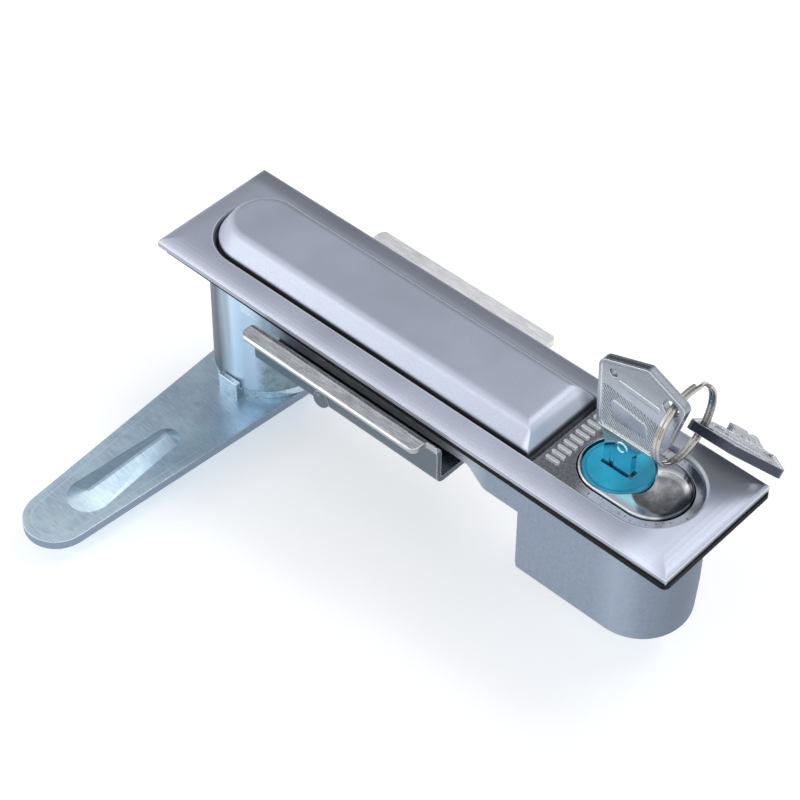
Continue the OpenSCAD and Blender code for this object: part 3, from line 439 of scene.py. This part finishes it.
def bracket_zones(t, col, rough, lines):
    """The bracket's rougher, shaded upright faces, its duller far flange paled by a painted
    reflection, and painted shade in its well.
    """
    col, rough = upright_rough_and_shaded(t, col, rough, tint(BRACKET_ZINC, 0.62))
    _, y, z = t.xyz()
    # a painted reflection makes the far flange paler; it is also rougher
    far = t.span(y, *FAR_FLANGE_Y)
    col = t.mix(far, col, t.mix(t.span(lines, 0.4, 0.6), FLANGE_DARK, FLANGE_LIGHT))
    rough = t.plus(rough, t.times(far, FLANGE_ROUGHER))
    # painted shade in the well
    return t.mix(t.span(z, *WELL_Z), col, WELL_SHADE), rough


# ---------------------------------------------------------------- bright chrome, brass and nickel
MARKS_Z = (DECK_TOP + 0.00005, DECK_TOP + 0.00015)
STRIP_RISE, STRIP_X = (0.0094, 0.0097), (0.0480, 0.0520)
BORDER = (0.01195, 0.01210)         # as STRIP_RISE, distance from the strip's middle line
DECK_MARKS, STRIP = (0.98, 1.0, 1.0), (0.86, 0.89, 0.97)
STRIP_SPECK, STRIP_BORDER = (0.10, 0.11, 0.12), (0.02, 0.02, 0.02)

# the scoop and its rim are distances from the scoop's centre, and so is the rim's dark side in X
SCOOP, SCOOP_ROUGHER = (0.0067, 0.0058), 0.10
SCOOP_RIM_RISE, SCOOP_RIM_FALL = (0.0052, 0.0060), (0.0070, 0.0078)
RIM_LIT_Y, RIM_DARK_X = (0.0025, 0.0042), (0.0030, 0.0050)
SHINE_Y, SHINE_X = (-0.0050, -0.0062), (0.0665, 0.0650)
BUTTON_END_X, BUTTON_END_Y, BUTTON_END_MIDDLE = (0.0674, 0.0688), (0.0066, 0.0050), -0.0008
SCOOP_DARK, SCOOP_LIGHT = (0.24, 0.245, 0.26), (0.42, 0.425, 0.44)
RIM_SHADE, BUTTON_END = (0.05, 0.055, 0.065), (0.07, 0.09, 0.11)


def bright(name, base, rough, zones=None, over=None):
    """Bright plated metal with hairline scuffs and soft smears; over lies above the painted edge
    highlight.
    """
    t = material(name)
    scuff = t.noise(1.0, detail=5, rough=0.7, stretch=(900, 220, 900), turn=(0.3, 0.2, 0.7))
    smear = t.noise(130, detail=3, rough=0.55)
    col = t.mix(t.span(smear, 0.35, 0.7), tint(base, 0.92), base)
    rough = t.plus(t.span(smear, 0.35, 0.7, low=rough, high=rough + 0.05),
                   t.span(scuff, 0.55, 0.72, high=0.10))
    if zones:
        col, rough = zones(t, col, rough)
    soft = t.soft_edge(radius=0.00025)
    # a painted highlight on the edges
    col = t.mix(t.edge(soft, high=0.6), col, tint(base, 1.6))
    if over:
        col = over(t, col)
    normal = t.bump(scuff, distance=0.00002, strength=0.20, normal=soft)
    return t.surface(col, metallic=1.0, rough=rough, normal=normal)


def deck_zones(t, col, rough):
    """The raised marks are polished, the ground between them is dull, and a strip is bright."""
    x, y, z = t.xyz()
    ground = t.mix(t.span(t.noise(1500, detail=4, rough=0.7), 0.4, 0.6),
                   tint(CHROME, 0.40), tint(CHROME, 0.66))
    col = t.mix(t.span(z, *MARKS_Z), ground, DECK_MARKS)
    # the strip round the button has dark specks, and a dark line at its border
    away = t.from_slot(x, y, STRIP_MIDDLE, STRIP_HALF)
    speck = t.span(t.noise(900, detail=4, rough=0.7), 0.60, 0.66, high=0.8)
    strip = t.mix(speck, STRIP, STRIP_SPECK)
    strip = t.mix(t.span(away, *BORDER), strip, STRIP_BORDER)
    near = t.times(t.span(away, *STRIP_RISE, high=0.9), t.span(x, *STRIP_X))
    return t.mix(near, col, strip), rough


def button_zones(t, col, rough):
    """The finger scoop is rougher and takes a blotchy grey of painted dark reflection, between a
    painted lit and a painted shaded side of its rim.
    """
    x, y, _ = t.xyz()
    dx = t.minus(x, SCOOP_X)
    away = t.length(dx, y)
    painted_light_mask = t.span(away, *SCOOP)
    blot = t.span(t.noise(420, detail=4, rough=0.6), 0.38, 0.62)
    # painted dark reflection in the scoop, in blotches
    col = t.mix(painted_light_mask, col, t.mix(blot, SCOOP_DARK, SCOOP_LIGHT))
    rough = t.plus(rough, t.times(painted_light_mask, SCOOP_ROUGHER))
    rim = t.band(away, SCOOP_RIM_RISE, SCOOP_RIM_FALL)
    # painted highlight on one side of the rim, painted shade on another
    col = t.mix(t.times(rim, t.span(y, *RIM_LIT_Y)), col, WHITE)
    col = t.mix(t.times(rim, t.span(dx, *RIM_DARK_X, high=0.9)), col, RIM_SHADE)
    # the near side of the button shines
    shine = t.times(t.span(y, *SHINE_Y, high=0.4), t.span(x, *SHINE_X))
    return t.mix(shine, col, WHITE), rough


def button_end(t, col):
    """The button's end is dark."""
    x, y, _ = t.xyz()
    off_middle = t.size(t.minus(y, BUTTON_END_MIDDLE))
    end = t.times(t.span(x, *BUTTON_END_X, high=0.88), t.span(off_middle, *BUTTON_END_Y))
    return t.mix(end, col, BUTTON_END)


# ---------------------------------------------------------------- keys
HATCH_X, HATCH_Z = 7600.0, 5400.0   # radians of the hatching per metre
HATCH_DEPTH, HATCH_RISE_Z = (0.00008, 0.00004), (0.0147, 0.0149)
BOW_TOP_Z = (0.027, 0.034)
CAP_REFLECTION_RISE_Z, CAP_REFLECTION_FALL_Z = (0.0030, 0.0040), (0.0120, 0.0140)
CAP_REFLECTION, CAP_REFLECTION_MOST = (0.42, 0.90, 1.0), 0.8


def key_metal(name, zones):
    """Nickel plated steel, polished flat, with a fine grain."""
    t = material(name)
    smear = t.noise(160, detail=3, rough=0.6)
    grain = t.noise(2400, detail=2, rough=0.6)
    rough = t.plus(t.span(smear, 0.3, 0.7, low=0.20, high=0.30),
                   t.span(grain, 0.35, 0.65, low=-0.03, high=0.05))
    soft = t.soft_edge(radius=0.00035)
    normal = t.bump(grain, distance=0.00001, strength=0.15, normal=soft)
    col, rough, normal = zones(t, smear, rough, normal, t.edge(soft))
    return t.surface(col, metallic=1.0, rough=rough, normal=normal)


def spare_zones(t, _smear, rough, normal, painted_light_mask):
    """The hanging key: painted shade on its faces, painted highlights on its edges."""
    return t.mix(painted_light_mask, SPARE_FACE_SHADE, tint(SPARE_NICKEL, 1.9)), rough, normal


def inserted_zones(t, smear, rough, normal, painted_light_mask):
    """Fine diagonal hatching in the bow's sunk field, painted shade towards the bow's top, painted
    edge highlights, and a painted reflection of the cap's blue low on the shank.
    """
    col = t.mix(t.span(smear, 0.35, 0.65), tint(KEY_NICKEL, 0.88), tint(KEY_NICKEL, 1.06))
    x, y, z = t.xyz()
    wave = t.math("SINE", t.plus(t.times(x, HATCH_X), t.times(z, HATCH_Z)))
    off_field = t.size(t.minus(t.size(y), SUNK_FACE))
    field = t.times(t.span(off_field, *HATCH_DEPTH), t.span(z, *HATCH_RISE_Z))
    col = t.mix(t.times(field, t.span(wave, -0.5, 0.7, high=0.5)), col, tint(KEY_NICKEL, 0.62))
    normal = t.bump(t.times(wave, field), distance=0.00012, strength=0.8, normal=normal)
    # painted shade towards the top of the bow
    col = t.mix(t.span(z, *BOW_TOP_Z, high=0.8), col, tint(KEY_NICKEL, 0.50))
    # a painted highlight on the edges
    col = t.mix(painted_light_mask, col, tint(KEY_NICKEL, 1.85))
    # a painted reflection of the cap's blue on the shank just above it, which is smoother there
    glow = t.band(z, CAP_REFLECTION_RISE_Z, CAP_REFLECTION_FALL_Z, high=CAP_REFLECTION_MOST)
    col = t.mix(glow, col, CAP_REFLECTION)
    return col, t.times(rough, t.span(glow, 0, CAP_REFLECTION_MOST, low=1, high=0.35)), normal


# ---------------------------------------------------------------- rubber and plastics
# places on the cap are taken from its centre, and its painted highlight lies along X and Y together
CAP_RING_RISE, CAP_RING_FALL = (0.0071, 0.0074), (0.0076, 0.0079)
CAP_PALE_XY, CAP_SHADE_X = (0.002, 0.010), (0.0022, 0.0050)
CAP_DARK, CAP_LIGHT, CAP_FLECK = (0.003, 0.36, 0.57), (0.020, 0.55, 0.80), (0.06, 0.55, 0.74)
CAP_RING, CAP_GLEAM, CAP_SHADE = (0.002, 0.17, 0.30), (0.06, 0.62, 0.86), (0.003, 0.17, 0.30)
RUBBER_DARK, RUBBER_DUSTY = (0.004, 0.004, 0.005), (0.012, 0.012, 0.013)


def rubber(name):
    """Matt black rubber with pores and a little dust."""
    t = material(name)
    pores = t.noise(3000, detail=3, rough=0.7)
    dust = t.noise(240, detail=4, rough=0.6)
    col = t.mix(t.span(dust, 0.5, 0.8, high=0.5), RUBBER_DARK, RUBBER_DUSTY)
    return t.surface(col, metallic=0.0, rough=t.span(pores, 0.3, 0.7, low=0.62, high=0.82),
                     normal=t.bump(pores, distance=0.00006, strength=0.5),
                     Specular_IOR_Level=0.2)


def blue_cap(name):
    """Glossy blue plastic: a darker ring inside the rim, a slow change of tone, and painted
    highlight and shade across it.
    """
    t = material(name)
    slow = t.noise(120, detail=3, rough=0.5)
    fine = t.noise(1900, detail=3, rough=0.6)
    col = t.mix(t.span(slow, 0.35, 0.65), CAP_DARK, CAP_LIGHT)
    col = t.mix(t.span(fine, 0.62, 0.8, high=0.3), col, CAP_FLECK)
    x, y, _ = t.xyz()
    dx = t.minus(x, CAP_X)
    ring = t.band(t.length(dx, y), CAP_RING_RISE, CAP_RING_FALL, high=0.65)
    col = t.mix(ring, col, CAP_RING)
    # painted highlight on one side of the cap, and painted shade along X
    col = t.mix(t.span(t.plus(dx, y), *CAP_PALE_XY, high=0.6), col, CAP_GLEAM)
    col = t.mix(t.span(dx, *CAP_SHADE_X, high=0.62), col, CAP_SHADE)
    return t.surface(col, metallic=0.0, rough=t.span(slow, 0.3, 0.7, low=0.10, high=0.20),
                     normal=t.bump(fine, distance=0.00003, strength=0.3),
                     Coat_Weight=0.35, Coat_Roughness=0.06, Specular_IOR_Level=0.45)


def nylon(name):
    """Natural nylon with a fine skin."""
    t = material(name)
    fine = t.noise(2200, detail=3, rough=0.6)
    col = t.mix(t.span(t.noise(150, detail=2), 0.35, 0.65), tint(NYLON, 0.94), tint(NYLON, 1.03))
    return t.surface(col, metallic=0.0, rough=t.span(fine, 0.3, 0.7, low=0.39, high=0.51),
                     normal=t.bump(fine, distance=0.00003, strength=0.35))


# ---------------------------------------------------------------- a look for each node
LOOKS = {
    "handle": satin("satin_chrome_look", handle_zones),
    "casting": satin("casting_look", casting_zones),
    "deck": bright("deck_chrome_look", CHROME, rough=0.16, zones=deck_zones),
    "button": bright("button_chrome_look", CHROME, rough=0.10, zones=button_zones,
                     over=button_end),
    "lever": zinc("zinc_lever_look", LEVER_ZINC, rough=0.36, brush=(260, 6500, 0),
                  zones=lever_zones),
    "bracket": zinc("zinc_bracket_look", BRACKET_ZINC, rough=0.26, brush=(240, 3000, 3000),
                    hue=0.30, dark_lines=0.12, zones=bracket_zones),
    "zinc": zinc("zinc_small_look", SMALL_ZINC, rough=0.28, brush=(900, 900, 3000)),
    "steel": zinc("steel_look", STEEL, rough=0.30, brush=(700, 700, 3600), hue=0.35),
    "brass": bright("brass_look", BRASS, rough=0.22),
    "nickel": bright("nickel_ring_look", RING_NICKEL, rough=0.16),
    "key": key_metal("key_look", inserted_zones),
    "hanging": key_metal("hanging_key_look", spare_zones),
    "rubber": rubber("gasket_look"),
    "blue": blue_cap("blue_cap_look"),
    "nylon": nylon("nylon_look"),
}
LOOK_OF = {
    "lock_base": "casting", "gasket": "rubber", "handle": "handle", "handle_pin": "steel",
    "lift_spring": "steel", "spindle": "zinc", "thrust_washer": "nylon", "stop_washer": "zinc",
    "cam_lever": "lever", "spring_washer": "steel", "lever_screw": "zinc",
    "mounting_bracket": "bracket", "bracket_screws": "zinc", "button_deck": "deck",
    "deck_screws": "steel", "push_button": "button", "button_spring": "steel", "catch": "zinc",
    "catch_pin": "steel", "catch_spring": "steel", "cylinder_barrel": "brass",
    "cylinder_clip": "steel", "cylinder_plug": "brass", "cylinder_cap": "blue",
    "wafers": "brass", "wafer_springs": "steel", "locking_cam": "zinc", "cam_screw": "steel",
    "rear_cover": "zinc", "cover_screws": "steel", "inserted_key": "key",
    "key_ring": "nickel", "spare_key": "hanging",
}
for name, obj in nodes.items():
    obj.data.materials.clear()
    obj.data.materials.append(LOOKS[LOOK_OF[name]])

# ---------------------------------------------------------------- springs, each copied and attached to the housing
for name, joint, foot, keep in (("button_spring", "button_press", SPRING_FOOT, 0.914),
                                ("catch_spring", "catch_turn", SPRING_FOOT, 0.895)):
    coil = bpy.data.objects.new(name + "_coil", nodes[name].data.copy())
    scene.collection.objects.link(coil)
    coil.matrix_world = nodes[name].matrix_world
    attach(coil, "housing")
    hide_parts(name)
    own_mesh(coil)

# ---------------------------------------------------------------- camera, solved from the photo
CAMERA_AZIMUTH, CAMERA_HEIGHT = math.radians(42.892), math.radians(45.921)
CAMERA_AT = (0.25464, -0.29065, 0.38760)
SENSOR_MM, LENS_MM = 36.0, 104.16


def place(obj, at, back):
    """Adds obj to the scene at a place, with its +Z along back."""
    scene.collection.objects.link(obj)
    obj.location = at
    obj.rotation_mode = "QUATERNION"
    obj.rotation_quaternion = back.to_track_quat("Z", "Y")


camera = bpy.data.cameras.new("camera")
camera.sensor_width = SENSOR_MM
camera.sensor_fit = "HORIZONTAL"
camera.lens = LENS_MM
camera.clip_start = 0.01
camera.clip_end = 20.0
camera.dof.use_dof = False
viewer = bpy.data.objects.new("camera", camera)
place(viewer, CAMERA_AT, Vector((math.sin(CAMERA_AZIMUTH) * math.cos(CAMERA_HEIGHT),
                                 -math.cos(CAMERA_AZIMUTH) * math.cos(CAMERA_HEIGHT),
                                 math.sin(CAMERA_HEIGHT))))
scene.camera = viewer

# ---------------------------------------------------------------- floor and room
FLOOR_HALF, FLOOR_GAP = 3, 0.0005
FLOOR_COLOUR, FLOOR_GLOW = (0.86, 0.86, 0.87), 0.36
ROOM_COLOUR, ROOM_STRENGTH = (0.95, 0.97, 1.0), 0.70


def quad(name, half_x, half_y, z=0.0):
    """A flat rectangle, not yet in the scene."""
    mesh = bpy.data.meshes.new(name)
    mesh.from_pydata([(-half_x, -half_y, z), (half_x, -half_y, z),
                      (half_x, half_y, z), (-half_x, half_y, z)], [], [(0, 1, 2, 3)])
    return bpy.data.objects.new(name, mesh)


# a pale floor that shows as near white to the camera and in metal, and lights nothing itself
floor = quad("floor", FLOOR_HALF, FLOOR_HALF, cad_box[0][2] - FLOOR_GAP)
scene.collection.objects.link(floor)
t = material("floor_look")
glow = t.fill_first(t.new("MixShader"), t.seen(), t.emission(BLACK, 0.0),
                    t.emission(WHITE, FLOOR_GLOW))
diffuse = t.fill(t.new("BsdfDiffuse"), Color=FLOOR_COLOUR)
t.put(t.out.inputs["Surface"], t.fill_first(t.new("AddShader"), diffuse, glow))
floor.data.materials.append(t.owner)

# a plain bright room that shows as white to the camera and in metal
scene.world = bpy.data.worlds.new("world")
t = Tree(scene.world, "OutputWorld")
room = t.fill(t.new("Background"), Color=ROOM_COLOUR, Strength=ROOM_STRENGTH)
white = t.fill(t.new("Background"), Color=WHITE, Strength=1.0)
t.put(t.out.inputs["Surface"], t.fill_first(t.new("MixShader"), t.seen(), room, white))


# ---------------------------------------------------------------- lamps and cards
def lamp(name, at, aim, size, watts):
    light = bpy.data.lights.new(name, "AREA")
    light.shape = "RECTANGLE"
    light.size, light.size_y = size
    light.energy = watts
    place(bpy.data.objects.new(name, light), at, Vector(at) - Vector(aim))


def card(name, at, aim, size, shade, right_shade=None):
    """A studio card that metal reflects and the camera doesn't see."""
    half_x, half_y = size[0] / 2, size[1] / 2
    o = quad(name, half_x, half_y)
    place(o, at, Vector(at) - Vector(aim))
    t = material(name + "_look")
    tone = shade
    if right_shade:
        # towards its right and its foot it gets darker, and its head fades into the white room
        x, y, _ = t.xyz()
        tone = t.mix(t.span(x, -half_x * 0.6, half_x * 0.5), tone, right_shade)
        tone = t.mix(t.span(y, 0.10, -0.10, high=0.60), tone, BLACK)
        tone = t.mix(t.span(y, 0.26, 0.50), tone, WHITE)
    t.put(t.out.inputs["Surface"], t.emission(tone))
    o.data.materials.append(t.owner)
    o.visible_camera = False
    o.visible_shadow = False
    o.visible_diffuse = False


card("top_card", at=(-0.216, 0.468, 0.291), aim=(0.2575, -0.0417, -0.427), size=(0.86, 1.3),
     shade=(0.52, 0.53, 0.55), right_shade=(0.37, 0.385, 0.42))
card("left_card", at=(-1.1, 0.62, 0.22), aim=(0, 0, 0), size=(0.8, 0.5),
     shade=(0.22, 0.23, 0.25))
card("near_card", at=(-0.0175, -0.2576, 0.04), aim=(0.10, 0.0, 0.03), size=(0.20, 0.15),
     shade=(0.60, 0.61, 0.64))
lamp("key_light", at=(-0.85, -1.25, 0.50), aim=(0, 0, 0), size=(1.5, 1.1), watts=5)
lamp("fill_light", at=(0.9, -0.5, 0.9), aim=(0, 0, 0), size=(0.8, 0.8), watts=1.0)
lamp("top_light", at=(0.30, 0.62, 1.25), aim=(0, 0, 0), size=(0.8, 0.5), watts=4)

scene.view_settings.view_transform = "Standard"
